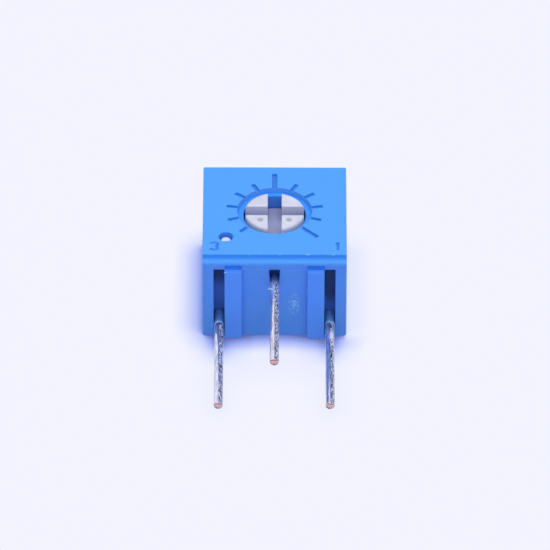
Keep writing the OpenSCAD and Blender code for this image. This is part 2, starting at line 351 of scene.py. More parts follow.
class Shader:
    """A material's node tree with short calls for the nodes that the finishes share."""

    def __init__(self, name):
        self.material = bpy.data.materials.new(name)
        self.material.use_nodes = True
        self.tree = self.material.node_tree
        self.bsdf = self.tree.nodes["Principled BSDF"]
        where = self.node("ShaderNodeTexCoord")
        scale = self.node("ShaderNodeVectorMath", operation="SCALE")
        scale.inputs["Scale"].default_value = 1 / MM
        self.link(where.outputs["Object"], scale.inputs[0])
        self.place = scale.outputs[0]

    def node(self, kind, **settings):
        return add_node(self.tree, kind, **settings)

    def link(self, source, target):
        self.tree.links.new(source, target)

    def stretched(self, factors):
        """The place in millimetres, scaled along each axis."""
        made = self.node("ShaderNodeVectorMath", operation="MULTIPLY")
        made.inputs[1].default_value = factors
        self.link(self.place, made.inputs[0])
        return made.outputs[0]

    def noise(self, scale, detail=3.0, rough=0.5, place=None):
        made = self.node("ShaderNodeTexNoise")
        made.inputs["Scale"].default_value = scale
        made.inputs["Detail"].default_value = detail
        made.inputs["Roughness"].default_value = rough
        self.link(place or self.place, made.inputs["Vector"])
        return made.outputs["Fac"]

    def spots(self, scale):
        made = self.node("ShaderNodeTexVoronoi")
        made.inputs["Scale"].default_value = scale
        self.link(self.place, made.inputs["Vector"])
        return made.outputs["Distance"]

    def ramp(self, source, low, high, start=0.0, end=1.0):
        """Maps start..end of the source to low..high, numbers or colours."""
        if isinstance(low, tuple):
            made = self.node("ShaderNodeValToRGB")
            made.color_ramp.elements[0].position = start
            made.color_ramp.elements[0].color = (*low, 1)
            made.color_ramp.elements[1].position = end
            made.color_ramp.elements[1].color = (*high, 1)
            self.link(source, made.inputs["Fac"])
            return made.outputs["Color"]
        made = self.node("ShaderNodeMapRange")
        made.inputs["From Min"].default_value = start
        made.inputs["From Max"].default_value = end
        made.inputs["To Min"].default_value = low
        made.inputs["To Max"].default_value = high
        self.link(source, made.inputs["Value"])
        return made.outputs["Result"]

    def rise(self, source, start, end, top=1.0):
        """0 up to the start, and top past the end."""
        return self.ramp(source, 0.0, top, start, end)

    def fall(self, source, start, end, top=1.0):
        """top up to the start, and 0 past the end."""
        return self.ramp(source, top, 0.0, start, end)

    def math(self, operation, a, b=0):
        made = self.node("ShaderNodeMath", operation=operation)
        for socket, value in zip(made.inputs, (a, b)):
            if isinstance(value, (int, float)):
                socket.default_value = value
            else:
                self.link(value, socket)
        return made.outputs[0]

    def times(self, first, *others):
        """The product of several values."""
        for other in others:
            first = self.math("MULTIPLY", first, other)
        return first

    def rest_of(self, value):
        """What is left of 1."""
        return self.math("SUBTRACT", 1.0, value)

    def mix(self, factor, a, b):
        """Mixes two colours, each an output or a colour. The node takes colours at its inputs 6 and 7."""
        made = self.node("ShaderNodeMix", data_type="RGBA")
        for socket, value in zip((made.inputs[0], made.inputs[6], made.inputs[7]), (factor, a, b)):
            if isinstance(value, tuple):
                socket.default_value = (*value, 1)
            elif isinstance(value, (int, float)):
                socket.default_value = value
            else:
                self.link(value, socket)
        return made.outputs[2]

    def axis(self, name):
        """One coordinate of the place, in millimetres."""
        made = self.node("ShaderNodeSeparateXYZ")
        self.link(self.place, made.inputs[0])
        return made.outputs[name]

    def from_axis(self):
        """The distance from the rotor's axis, in millimetres."""
        made = self.node("ShaderNodeVectorMath", operation="LENGTH")
        self.link(self.stretched((1.0, 1.0, 0.0)), made.inputs[0])
        return made.outputs["Value"]

    def patch(self, centre, reach):
        """1 at a place and 0 past its reach along each axis."""
        moved = self.node("ShaderNodeVectorMath", operation="SUBTRACT")
        moved.inputs[1].default_value = centre
        self.link(self.place, moved.inputs[0])
        scaled = self.node("ShaderNodeVectorMath", operation="DIVIDE")
        scaled.inputs[1].default_value = reach
        self.link(moved.outputs[0], scaled.inputs[0])
        far = self.node("ShaderNodeVectorMath", operation="LENGTH")
        self.link(scaled.outputs[0], far.inputs[0])
        return self.fall(far.outputs["Value"], 0.3, 1.0)

    def bump(self, *layers):
        """Stacks bumps, each a height and its depth in millimetres."""
        normal = None
        for height, depth in layers:
            made = self.node("ShaderNodeBump")
            made.inputs["Distance"].default_value = depth * MM
            self.link(height, made.inputs["Height"])
            if normal:
                self.link(normal, made.inputs["Normal"])
            normal = made.outputs["Normal"]
        self.link(normal, self.bsdf.inputs["Normal"])

    def set(self, **values):
        """Sets sockets of the shader by name, with underscores for spaces."""
        for key, value in values.items():
            socket = self.bsdf.inputs[key.replace("_", " ")]
            if isinstance(value, bpy.types.NodeSocket):
                self.link(value, socket)
            elif isinstance(value, tuple) and socket.type == "RGBA":
                socket.default_value = (*value, 1)
            else:
                socket.default_value = value


# Tones of the housing

WALL_BLUE, WALL_DEEP = (0.088, 0.300, 0.890), (0.076, 0.274, 0.845)
FOOT_BLUE = (0.078, 0.272, 0.745)
RIB_BLUE = (0.084, 0.305, 0.99)
# Painted light in the reliefs over the ribs, and painted shade on the ribs' tops
RELIEF_LIGHT, LEDGE_SHADE = (0.066, 0.345, 1.0), (0.026, 0.172, 0.65)
# Painted light on the rounded shoulder along the top of the front wall
SHOULDER_LIGHT = (0.070, 0.370, 0.98)
# Painted shade on the upright edge under the dial's rim
EDGE_SHADE = (0.028, 0.262, 0.90)
# Painted light and shade on the dial: a lighter painted tone for its face than the walls have, and painted
# shade in its recesses
DIAL_LIT_BLUE, RECESS_SHADE = (0.086, 0.390, 0.99), (0.040, 0.246, 0.75)
# Painted shade on the ring's floor, and painted light on the ring's wall
RING_FLOOR_SHADE, RING_WALL_LIGHT = (0.058, 0.345, 0.96), (0.135, 0.450, 1.0)
# A lighter painted shade on the wall of the corner hole
HOLE_SHADE = (0.080, 0.340, 0.94)
# Painted shadow at the top of the outer slots, and painted shade lower down in them
SLOT_SHADOW, LOW_SLOT_SHADE = (0.018, 0.046, 0.16), (0.11, 0.25, 0.62)
# Painted light in the middle slot
MID_SLOT_LIGHT = (0.25, 0.54, 1.0)
GRAIN_BLUE, SCUFF_BLUE = (0.16, 0.45, 0.98), (0.24, 0.56, 0.94)

# Where one tone of the housing gives way to the next: heights, then places along Y, then distances from
# the middle or from the axis

ring_floor_band = body_h - 0.26, body_h - 0.22
face_band = body_h - 0.065, body_h - 0.02
edge_band = body_h - 0.24, body_h - 0.15
dial_band = body_h - 0.42, body_h - 0.32
shoulder_band = body_h - 0.50, body_h - 0.33
roof_band = slot_top, slot_top + 0.02
foot_band = 0.5, 2.7
low_slot_fade = 0.8, 1.9
high_slot_fade, high_slot_lean = (1.6, 2.2), 0.2
plate_band = plate_y, plate_y + 0.03
front_band = wall_y + 0.05, wall_y + 0.4
rib_band = seat_y + 0.05, wall_y
mid_slot_band = wall_y + 0.04, wall_y + 0.16
mid_slot_end_band = -2.6, -2.55
low_slot_band = wall_y + 0.2, wall_y + 0.6
high_slot_band = wall_y + 0.3, wall_y + 0.7
slot_end_band = -2.55, -2.5
ring_edge_band = ring_r - 0.005, ring_r + 0.03
mid_slot_side_band = 0.27, 0.32
slot_inner_band = 1.0, 1.5
slot_outer_band = grid + side_slot_w / 2 + 0.02, grid + side_slot_w / 2 + 0.06

# A place and a reach along each axis

HOLE_TONE = (hole_x, hole_y, body_h - 0.2), (0.6, 0.6, 1.2)
SCUFF = (0.90, wall_y, 1.85), (0.34, 0.12, 0.72)


def dial_light_and_shade(s, height):
    """The dial's face, its ring and grooves, and the wall of its corner hole, with light and shade painted
    in: the face in a lighter painted tone than the walls, painted shade on the ring's floor, in the ticks and
    numbers and, lighter, in the corner hole, and painted light on the ring's wall.
    """
    tone = s.mix(s.rise(height, *ring_floor_band), RING_FLOOR_SHADE, RING_WALL_LIGHT)
    tone = s.mix(s.rise(s.from_axis(), *ring_edge_band), tone, RECESS_SHADE)
    tone = s.mix(s.rise(s.patch(*HOLE_TONE), 0.0, 0.4), tone, HOLE_SHADE)
    return s.mix(s.rise(height, *face_band), tone, DIAL_LIT_BLUE)


def slot_painted_shade(s, colour, height, depth, across):
    """The slots: painted shadow at the top of the outer two, painted shade lower down in them, and even
    painted light in the middle one.
    """
    roof = s.fall(height, *roof_band)
    outer = s.times(roof, s.fall(depth, *slot_end_band), s.rise(across, *slot_inner_band),
                    s.fall(across, *slot_outer_band))
    low = s.times(outer, s.rise(depth, *low_slot_band), s.ramp(height, 0.55, 0.25, *low_slot_fade))
    leaning = s.math("ADD", height, s.times(s.axis("X"), high_slot_lean))
    high = s.times(outer, s.rise(depth, *high_slot_band), s.rise(leaning, *high_slot_fade, 0.75))
    middle = s.times(roof, s.fall(across, *mid_slot_side_band), s.rise(depth, *mid_slot_band),
                     s.fall(depth, *mid_slot_end_band), 0.95)
    colour = s.mix(high, s.mix(low, colour, LOW_SLOT_SHADE), SLOT_SHADOW)
    return s.mix(middle, colour, MID_SLOT_LIGHT)


def relief_painted_shade(s, colour, height, depth, across):
    """Painted shade on the ribs' tops, growing darker toward the reliefs over the ribs, and painted light,
    bluer than the wall, in the reliefs.
    """
    inside = s.times(s.rise(across, rib_in_x, rib_in_x + 0.04), s.fall(across, rib_out_x - 0.04, rib_out_x),
                     s.rise(height, slot_top - 0.015, slot_top - 0.005),
                     s.fall(height, slot_top + relief_h, slot_top + relief_h + 0.02),
                     s.rise(depth, seat_y + 0.03, lintel_y),
                     s.fall(depth, relief_back_y + 0.02, relief_back_y + 0.04))
    return s.mix(inside, colour, s.mix(s.rise(depth, lintel_y, lintel_y + 0.03), LEDGE_SHADE, RELIEF_LIGHT))


def blue_plastic():
    """Blue all over, darker toward the foot of the front wall and bluer on the ribs, with light and shade
    painted in: lighter painted tones on the dial's face and on the shoulder below it, painted shade on the
    edge under the dial's rim, in the dial's recesses, on the ribs' tops and in the outer slots, and painted
    light on the ring's wall, in the reliefs and in the middle slot.
    """
    s = Shader("housing_blue")
    grain = s.noise(34.0, 2.0, 0.6)
    flow = s.noise(2.2, 3.0, 0.5, s.stretched((0.35, 1.0, 1.0)))
    height, depth, across = s.axis("Z"), s.axis("Y"), s.math("ABSOLUTE", s.axis("X"))
    colour = s.ramp(s.noise(0.9, 4.0, 0.6), WALL_DEEP, WALL_BLUE, 0.32, 0.68)
    # Painted light on the shoulder, which faces up
    colour = s.mix(s.rise(height, *shoulder_band), colour, SHOULDER_LIGHT)
    # Painted shade on the edge under the dial's rim
    colour = s.mix(s.rise(height, *edge_band), colour, EDGE_SHADE)
    on_top = s.times(s.rise(height, *dial_band), s.rise(depth, *plate_band))
    colour = s.mix(on_top, colour, dial_light_and_shade(s, height))
    colour = s.mix(s.fall(depth, *rib_band), colour, RIB_BLUE)
    foot = s.times(s.fall(height, *foot_band), s.fall(depth, *front_band), s.ramp(depth, 0.6, 1.0, *rib_band))
    colour = s.mix(foot, colour, FOOT_BLUE)
    colour = slot_painted_shade(s, colour, height, depth, across)
    colour = relief_painted_shade(s, colour, height, depth, across)
    colour = s.mix(s.rise(grain, 0.45, 0.75, 0.06), colour, GRAIN_BLUE)
    scuff = s.times(s.patch(*SCUFF), s.rise(s.noise(6.0, 3.0, 0.75), 0.45, 0.56))
    colour = s.mix(s.times(scuff, 0.72), colour, SCUFF_BLUE)
    s.set(Base_Color=colour, Roughness=s.ramp(s.noise(5.0, 4.0, 0.65), 0.38, 0.54, 0.3, 0.7))
    s.set(Specular_IOR_Level=0.28, Subsurface_Weight=0.12, Subsurface_Radius=(0.25, 0.5, 1.0),
          Subsurface_Scale=0.12 * MM)
    s.bump((grain, 0.0018), (flow, 0.008), (scuff, 0.012))
    return s.material


# Tones of the rotor with its painted light and shade, and the size of the painted shade round each dimple

ROTOR_DEEP, ROTOR_PALE = (0.66, 0.67, 0.77), (0.76, 0.77, 0.88)
STREAK_GREY = (0.60, 0.57, 0.68)
# Painted shade down the walls and on the floor of the rotor's cross
CROSS_WALL_SHADE, CROSS_FLOOR_SHADE = (0.30, 0.34, 0.76), (0.20, 0.20, 0.16)
# Painted light on the rotor's rim, warmer than the rest
RIM_WARM_LIGHT = (0.88, 0.78, 0.66)
# Painted shade round each dimple, and how far it reaches
DIMPLE_SHADE, DIMPLE_REACH = (0.22, 0.21, 0.28), (0.17, 0.17, 0.2)


def rotor_plastic():
    """Pale plastic, with painted shade down the walls and on the floor of the cross, painted light at its
    rim, a little warmer than the rest, and painted shade round each dimple.
    """
    s = Shader("rotor_white")
    grain = s.noise(30.0, 2.0, 0.6)
    streak = s.noise(3.0, 3.0, 0.6, s.stretched((1.0, 0.25, 1.0)))
    height = s.axis("Z")
    colour = s.ramp(s.noise(1.6, 4.0, 0.6), ROTOR_DEEP, ROTOR_PALE, 0.3, 0.7)
    colour = s.mix(s.rise(streak, 0.45, 0.7, 0.2), colour, STREAK_GREY)
    # Painted shade down the walls of the cross and on its floor
    colour = s.mix(s.fall(height, head_top - 0.58, head_top - 0.22, 0.58), colour, CROSS_WALL_SHADE)
    colour = s.mix(s.fall(height, cross_z + 0.01, cross_z + 0.06, 0.38), colour, CROSS_FLOOR_SHADE)
    # Painted light on the rim, warmer than the rest of the rotor
    rim = s.times(s.rise(s.from_axis(), head_r - 0.055, head_r - 0.005, 0.85),
                  s.rise(height, cross_z, cross_z + 0.4))
    colour = s.mix(rim, colour, RIM_WARM_LIGHT)
    # Painted shade round each dimple
    for x in (-dimple_x, dimple_x):
        spot = s.patch((x, dimple_y, head_top), DIMPLE_REACH)
        colour = s.mix(s.times(spot, 0.75), colour, DIMPLE_SHADE)
    s.set(Base_Color=colour, Roughness=s.ramp(streak, 0.40, 0.55, 0.3, 0.7))
    s.set(Specular_IOR_Level=0.4, Subsurface_Weight=0.2, Subsurface_Radius=(1.0, 0.9, 0.9),
          Subsurface_Scale=0.15 * MM)
    s.bump((grain, 0.0018), (streak, 0.006))
    return s.material


# Tones of the tin, and the painted highlight near the root of the right-hand wire

# Streaks of the tin, and the pale colour of its painted glints and highlights
TIN_DEEP, TIN_BRIGHT, TIN_HIGHLIGHT = (0.50, 0.50, 0.60), (0.77, 0.77, 0.85), (0.86, 0.86, 0.95)
# Painted light for the middle wire's ridge, the near-black of the pits, and painted shade for the middle wire
# inside the slot
TIN_ROOT_LIGHT, TIN_PIT, TIN_HIDDEN_SHADE = (0.60, 0.76, 1.0), (0.05, 0.05, 0.09), (0.035, 0.09, 0.30)
PAINTED_HIGHLIGHT = (grid + 0.075, -4.50, wire_z + 0.2), (0.15, 0.60, 0.25)


def tinned_wire():
    """Bright streaked tin, plain on one side. The side facing away from the bright reflections has pits,
    painted near black, with painted glints among them, and a painted highlight sits near the root of the
    right-hand wire. The middle wire has painted light along its ridge near the wall and painted shade inside
    the slot. The tin is less metallic where light or shade is painted.
    """
    s = Shader("tinned_wire")
    streak = s.noise(1.4, 4.0, 0.6, s.stretched((6.0, 1.1, 6.0)))
    pits = s.noise(3.6, 4.0, 0.70, s.stretched((5.0, 1.5, 5.0)))
    glints = s.noise(3.9, 3.0, 0.6, s.stretched((5.2, 1.5, 5.2)))
    facing = s.node("ShaderNodeSeparateXYZ")
    s.link(s.node("ShaderNodeNewGeometry").outputs["Normal"], facing.inputs[0])
    # The side that faces the dim side of the reflections, the only side with pits and painted glints
    dim_side = s.ramp(facing.outputs["X"], 0.10, 1.0, -0.05, 0.20)
    # The painted highlight near the root of the right-hand wire, where the pits are left out
    clean = s.patch(*PAINTED_HIGHLIGHT)
    mottle = s.times(s.fall(pits, 0.455, 0.49), dim_side, s.rest_of(clean))
    # Painted glints among the pits, and the painted highlight patch
    glint = s.math("MAXIMUM", s.times(s.rise(glints, 0.505, 0.535), dim_side), clean)
    along, on_middle = s.axis("Y"), s.rise(s.axis("Z"), 1.8, 2.2)
    # Painted light along the ridge of the middle wire near the wall
    root = s.times(s.rise(along, seat_y - 1.0, seat_y - 0.5), on_middle,
                   s.rise(facing.outputs["Z"], 0.80, 0.97, 0.75))
    # Painted shade on the middle wire inside the slot
    hidden_shade = s.times(s.rise(along, wall_y - 0.60, wall_y - 0.10), on_middle)
    # Where light is painted on the tin; the painted shade joins it below, and the tin is less metallic under
    # all of it
    painted_light_and_shade = s.math("MAXIMUM", glint, s.times(root, 0.9))
    colour = s.mix(painted_light_and_shade, s.ramp(streak, TIN_DEEP, TIN_BRIGHT, 0.38, 0.54), TIN_HIGHLIGHT)
    colour = s.mix(root, colour, TIN_ROOT_LIGHT)
    # The pits painted near black, as dark reflections
    colour = s.mix(s.times(mottle, 0.92), colour, TIN_PIT)
    colour = s.mix(s.times(hidden_shade, 0.95), colour, TIN_HIDDEN_SHADE)
    painted_light_and_shade = s.math("MAXIMUM", painted_light_and_shade, hidden_shade)
    s.set(Base_Color=colour, Metallic=s.ramp(painted_light_and_shade, 0.90, 0.20), Roughness=s.ramp(mottle, 0.15, 0.34))
    s.bump((streak, 0.007), (mottle, 0.006), (s.noise(16.0, 3.0, 0.6), 0.0015))
    return s.material


COPPER_DEEP, COPPER_PALE, COPPER_LINE = (0.72, 0.36, 0.32), (0.96, 0.68, 0.63), (0.34, 0.10, 0.09)


def cut_copper():
    """A sheared copper face: pale, with a dark line where the blade broke through near its top."""
    s = Shader("cut_copper")
    lines = s.noise(3.0, 4.0, 0.7, s.stretched((9.0, 1.0, 1.4)))
    cloud = s.noise(6.0, 3.0, 0.6)
    colour = s.ramp(lines, COPPER_DEEP, COPPER_PALE, 0.32, 0.56)
    for axis_z in (wire_z, mid_z):
        gap = s.math("ABSOLUTE", s.math("SUBTRACT", s.axis("Z"), axis_z + 0.45 * wire_r))
        colour = s.mix(s.fall(gap, 0.02, 0.06, 0.8), colour, COPPER_LINE)
    s.set(Base_Color=colour, Metallic=0.2, Roughness=s.ramp(cloud, 0.38, 0.6, 0.3, 0.7))
    s.bump((lines, 0.010), (cloud, 0.008))
    return s.material


def solder_metal(name="solder"):
    s = Shader(name)
    pits = s.noise(8.0, 4.0, 0.65)
    colour = s.ramp(pits, (0.62, 0.62, 0.66), (0.90, 0.90, 0.93), 0.35, 0.6)
    s.set(Base_Color=colour, Metallic=0.85, Roughness=s.ramp(pits, 0.42, 0.24, 0.35, 0.65))
    s.bump((pits, 0.012))
    return s.material


def stake_metal():
    """A clean sheared end, brighter than the joints."""
    s = Shader("stake_metal")
    pits = s.noise(9.0, 3.0, 0.6)
    s.set(Base_Color=s.ramp(pits, (0.80, 0.80, 0.84), (0.98, 0.98, 1.0), 0.3, 0.55), Metallic=0.25)
    s.set(Roughness=s.ramp(pits, 0.5, 0.3, 0.35, 0.65))
    s.bump((pits, 0.008))
    return s.material


RESIN_DEEP, RESIN_PALE = (0.14, 0.36, 0.70), (0.19, 0.44, 0.78)
# A painted highlight along the resin's rim, and its dust
RESIN_RIM_HIGHLIGHT, RESIN_DUST = (0.30, 0.60, 0.84), (0.25, 0.38, 0.66)


def cast_resin():
    """Glossy resin with specks of dust, and a painted highlight along its rim where it meets the outer wires
    from above.
    """
    s = Shader("resin")
    cloud = s.noise(1.1, 4.0, 0.6)
    # Painted highlight along the rim where the resin meets the outer wires
    rim = s.times(s.fall(s.axis("Y"), wall_y + 0.03, wall_y + 0.12),
                  s.rise(s.axis("Z"), wire_z - 0.02, wire_z + 0.16),
                  s.ramp(s.noise(5.5), 0.25, 1.0, 0.42, 0.54))
    colour = s.mix(rim, s.ramp(cloud, RESIN_DEEP, RESIN_PALE, 0.3, 0.7), RESIN_RIM_HIGHLIGHT)
    s.set(Base_Color=s.mix(s.fall(s.spots(5.0), 0.04, 0.12, 0.25), colour, RESIN_DUST))
    s.set(Roughness=s.ramp(cloud, 0.12, 0.26, 0.3, 0.7), Coat_Weight=0.3)
    s.bump((cloud, 0.05), (s.noise(9.0, 2.0), 0.002))
    return s.material


def spring_alloy():
    s = Shader("spring_alloy")
    rolled = s.noise(3.0, 4.0, 0.6, s.stretched((1.0, 14.0, 1.0)))
    s.set(Base_Color=s.ramp(rolled, (0.58, 0.55, 0.47), (0.76, 0.73, 0.66), 0.3, 0.7), Metallic=1.0)
    s.set(Roughness=s.ramp(rolled, 0.24, 0.38, 0.3, 0.7))
    s.bump((rolled, 0.002))
    return s.material


def alumina():
    s = Shader("alumina")
    grain = s.noise(22.0, 3.0, 0.6)
    s.set(Base_Color=s.ramp(s.noise(1.2), (0.78, 0.76, 0.70), (0.88, 0.87, 0.82), 0.3, 0.7))
    s.set(Roughness=s.ramp(grain, 0.5, 0.7, 0.3, 0.7))
    s.bump((grain, 0.004))
    return s.material


def fired_ink(name, low, high, metallic):
    """A printed and fired layer, slightly ribbed by the screen it was printed through."""
    s = Shader(name)
    screen = s.noise(12.0, 2.0, 0.5)
    s.set(Base_Color=s.ramp(screen, low, high, 0.3, 0.7), Metallic=metallic)
    s.set(Roughness=s.ramp(screen, 0.32, 0.5, 0.3, 0.7))
    s.bump((screen, 0.004))
    return s.material


# The housing

def side_profile(inset):
    """The housing's outline seen from its side and drawn in by inset, as (y, z), against the clock."""
    lean, sharpest = math.radians(27), 0.004
    front, back, low, high = wall_y + inset, back_y - inset, inset, body_h - inset
    corners = [(front, low, 0.045), (back, low, 0.045), (back, high, 0.03), (plate_y + inset, high, 0.035)]
    corners = [(y, z, max(sharpest, r - inset)) for y, z, r in corners]
    shoulder = shoulder_r - inset
    meet = Vector((plate_y - shoulder * math.sin(lean), shoulder_z + shoulder * math.cos(lean)))
    knee = meet + Vector((0.04 + inset / 2, 0.026))
    start = Vector((plate_y + inset, body_h - 0.09))
    outline = rounded(corners + [(*start, 0)])
    outline += [tuple(start.lerp(knee, t).lerp(knee.lerp(meet, t), t)) for t in (k / 6 for k in range(1, 7))]
    outline += arc(plate_y, shoulder_z, shoulder, 90 + math.degrees(lean), 180, 10)[1:]
    step = rounded([(lintel_y + inset, step_z, 0), (lintel_y + inset, step_z - inset, 0),
                    (front, step_z - inset, max(sharpest, 0.02 - inset)), (front, 1, 0)])
    return outline + step[1:-1]


def housing_blank():
    """The side profile drawn out along X, its two ends rounded."""
    end_r, steps = 0.06, 4
    ends = [(side - end_r * (1 - math.sin(t)), end_r * (1 - math.cos(t)))
            for t in (math.pi / 2 * i / steps for i in range(steps + 1))]
    sections = [(-x, d) for x, d in reversed(ends)] + ends
    return loft("housing", [[(x, y, z) for y, z in side_profile(d)] for x, d in sections])


def rib(s):
    """A standoff rib, its foot just clear of the housing's lower face so that no two faces share a plane."""
    clear = 0.003
    x0, x1 = sorted((s * rib_in_x, s * rib_out_x))
    return boss(rectangle(x0, clear, x1, slot_top), on_wall, wall_y - seat_y, 0.04)


def relief(s):
    x0, x1 = sorted((s * (rib_in_x + relief_inset), s * (rib_out_x - relief_inset)))
    outline = rectangle(x0, slot_top, x1, slot_top + relief_h, 0.03)
    return cutter(outline, on_wall, relief_back_y - wall_y, 0.012, 0.01)


def side_slot(s):
    x0, x1 = s * grid - side_slot_w / 2, s * grid + side_slot_w / 2
    outline = [(x0, -0.5), (x1, -0.5), (x1, slot_top), (x0, slot_top)]
    return cutter(outline, on_wall, side_slot_depth, 0.02, 0.004)


def side_passage(s):
    x0, x1 = s * grid - side_slot_w / 2, s * grid + side_slot_w / 2
    return box((x0 + 0.004, wall_y - 0.1, -0.1), (x1 - 0.004, pocket_y + 0.02, foot_z))


def mid_slot():
    """Square at its top, then narrowing to a round seat for the middle wire."""
    half, knee = mid_slot_w / 2, slot_top - mid_slot_side
    narrow = wire_r + 0.004
    seat = arc(0, mid_z, narrow, 200, 340, 14)
    outline = [(-half, slot_top), (-half, knee), *seat, (half, knee), (half, slot_top)]
    return cutter(outline, on_wall, channel_y - wall_y + 0.05, 0.018, 0.0)


def inner_cutters():
    """The channel of the middle wire, the bearing, the chamber with its stop, and the pocket.

    The stop stands beside the flange only: below it the chamber is round all the way. No two of these
    end in the same plane, because the exact solver leaves slivers there.
    """
    half = mid_slot_w / 2 - 0.003
    open_angle = 360 - stop_angle
    sector = arc(0, 0, chamber_r, -90 + stop_angle / 2, -90 + stop_angle / 2 + open_angle, 72)
    sector += arc(0, 0, stop_in_r - 0.05, -90 - stop_angle / 2, -90 - stop_angle / 2 - open_angle, 72)
    return [
        box((-half, channel_y, -0.1), (half, channel_y + channel_d, slot_top - 0.003)),
        box((-half, channel_y, -0.12), (half, pocket_y + 0.1, ledge_z - 0.003)),
        turned([(bearing_r, chamber_z - 0.1), (bearing_r, body_h + 0.5)], 160),
        turned([(stop_in_r, face_z), (stop_in_r, chamber_z)], 128),
        prism(sector, face_z - 0.01, chamber_z - 0.004),
        turned([(chamber_r + 0.002, face_z - 0.005), (chamber_r + 0.002, stop_low_z)], 128),
        box((-pocket_x, pocket_y, -0.14), (pocket_x, pocket_back_y, ledge_z)),
        turned([(stake_bore_r, ledge_z - 0.1), (stake_bore_r, body_h + 0.4)], 48, hole_x, hole_y),
    ]


def dial_cutters():
    ring = cutter(circle(ring_r, 160), on_dial, ring_depth, 0.022, 0.006)
    hole = cutter(circle(hole_r, 64, hole_x, hole_y), on_dial, hole_depth, 0.05, 0.01, 0.35)
    ticks = []
    for i in range(tick_count):
        turn = math.radians(tick_travel / 2 - i * tick_travel / (tick_count - 1))
        top = i == tick_count // 2
        half = (tick_top_w if top else tick_w) / 2
        reach = tick_long_r if top or i == tick_count - 1 else tick_r
        spin = Matrix.Rotation(turn, 2)
        outline = [tuple(spin @ Vector(p)) for p in rectangle(-half, ring_r - 0.12, half, reach, 0.03)]
        ticks.append(cutter(outline, on_dial, tick_depth, 0.016, 0.014, 0.25 + 0.002 * i))
    return [ring, hole, *ticks]


# The terminal numbers beside the outer wires

NUMBER_STROKE_R = 0.070
THREE_AT = (-2.765, -2.66)
THREE_SIZE = (0.17, 0.135)
ONE_X, ONE_LOW, ONE_HIGH = 2.90, -2.93, -2.38


def number_cutters():
    cx, cy = THREE_AT
    rx, ry = THREE_SIZE
    strokes = []
    for s, start, end in ((1, 160, -80), (-1, -160, 80)):
        turns = [math.radians(start + (end - start) * k / 20) for k in range(21)]
        strokes.append([(cx + rx * math.cos(t), cy + s * ry + ry * math.sin(t), body_h) for t in turns])
    stem = [(ONE_X, y, body_h) for y in (ONE_LOW, (ONE_LOW + ONE_HIGH) / 2, ONE_HIGH)]
    flag = [(ONE_X + x, ONE_HIGH + y, body_h) for x, y in ((-0.11, -0.13), (-0.05, -0.08), (0, 0))]
    strokes += [stem, flag]
    return [sweep("stroke", path, NUMBER_STROKE_R - 0.001 * i, 12) for i, path in enumerate(strokes)]


def make_housing():
    body = housing_blank()
    combine(body, [rib(-1), rib(1)], "UNION")
    slots = [side_slot(-1), side_slot(1), side_passage(-1), side_passage(1), mid_slot()]
    combine(body, slots + [relief(-1), relief(1)], "DIFFERENCE")
    combine(body, inner_cutters(), "DIFFERENCE")
    combine(body, dial_cutters(), "DIFFERENCE")
    combine(body, number_cutters(), "DIFFERENCE")
    smooth(body)
    body.data.materials.append(blue_plastic())
    finish_piece(body, "moulded_housing", "body", ["housing"])


# The rotor

def cross_outline():
    """A plus sign with rounded inner corners."""
    h, reach = cross_w / 2, head_r + 0.4
    corners = []
    for quarter in range(4):
        spin = Matrix.Rotation(math.pi / 2 * quarter, 2)
        for x, y, r in ((reach, -h, 0), (reach, h, 0), (h, h, cross_corner_r)):
            p = spin @ Vector((x, y))
            corners.append((p.x, p.y, r))
    return rounded(corners, 5)


def make_rotor():
    rim = [(head_r - head_round + head_round * math.sin(t), head_top - head_round + head_round * math.cos(t))
           for t in (math.pi / 2 * k / 5 for k in range(5, -1, -1))]
    body = turned([(flange_r, flange_z), (flange_r, flange_top), (head_r, flange_top + 0.001), *rim], 160)
    half = math.radians(lug_angle / 2)
    lug_mid = [(-lug_r * math.sin(t), lug_r * math.cos(t)) for t in (half * k / 8 for k in range(-8, 9))]
    root = (flange_r - 0.2) / math.cos(half)
    root_x, root_y = root * math.sin(half), root * math.cos(half)
    lug = [(root_x, root_y), *lug_mid, (-root_x, root_y)]
    combine(body, [prism(lug, flange_z + 0.002, flange_top - 0.002)], "UNION")
    tools = [cutter(cross_outline(), on_dial, head_top - cross_z, 0.03, 0.006)]
    for s in (-1, 1):
        bowl = [(dimple_r * math.sin(t), head_top - dimple_depth * math.cos(t)) for t in
                (math.pi / 2 * k / 6 for k in range(1, 7))]
        tools.append(turned([(0.01, head_top - dimple_depth), *bowl, (dimple_r + 0.02, head_top + 0.3)],
                            40, s * dimple_x, dimple_y))
    combine(body, tools, "DIFFERENCE")
    smooth(body)
    body.data.materials.append(rotor_plastic())
    finish_piece(body, "slotted_rotor", "rotor", ["rotor"])


# The wires

# The tin thins out over tin_taper behind the ribs' plane. Its coat swells and shrinks by these amounts, and
# the shear leans the wires' ends, leaves them lumpy and turns their edge back.

tin_taper = 0.5
COAT_SWELL, COAT_RIPPLE = 0.004, 0.0025
SHEAR_LEAN, SHEAR_LUMP, SHEAR_BURR = 0.050, 0.008, 0.010


def tin_radius(y, x, turn):
    """The tinned wire's radius with the unevenness of its coat, which x sets apart from wire to wire."""
    if y > seat_y:
        return max(core_r, wire_r - (wire_r - core_r) * (y - seat_y) / tin_taper)
    place = Vector((x * 3 + math.cos(turn) * 0.5, y * 1.3, math.sin(turn) * 0.5))
    return wire_r + COAT_SWELL * noise.noise(place * 1.7) + COAT_RIPPLE * noise.noise(place * 6.0)


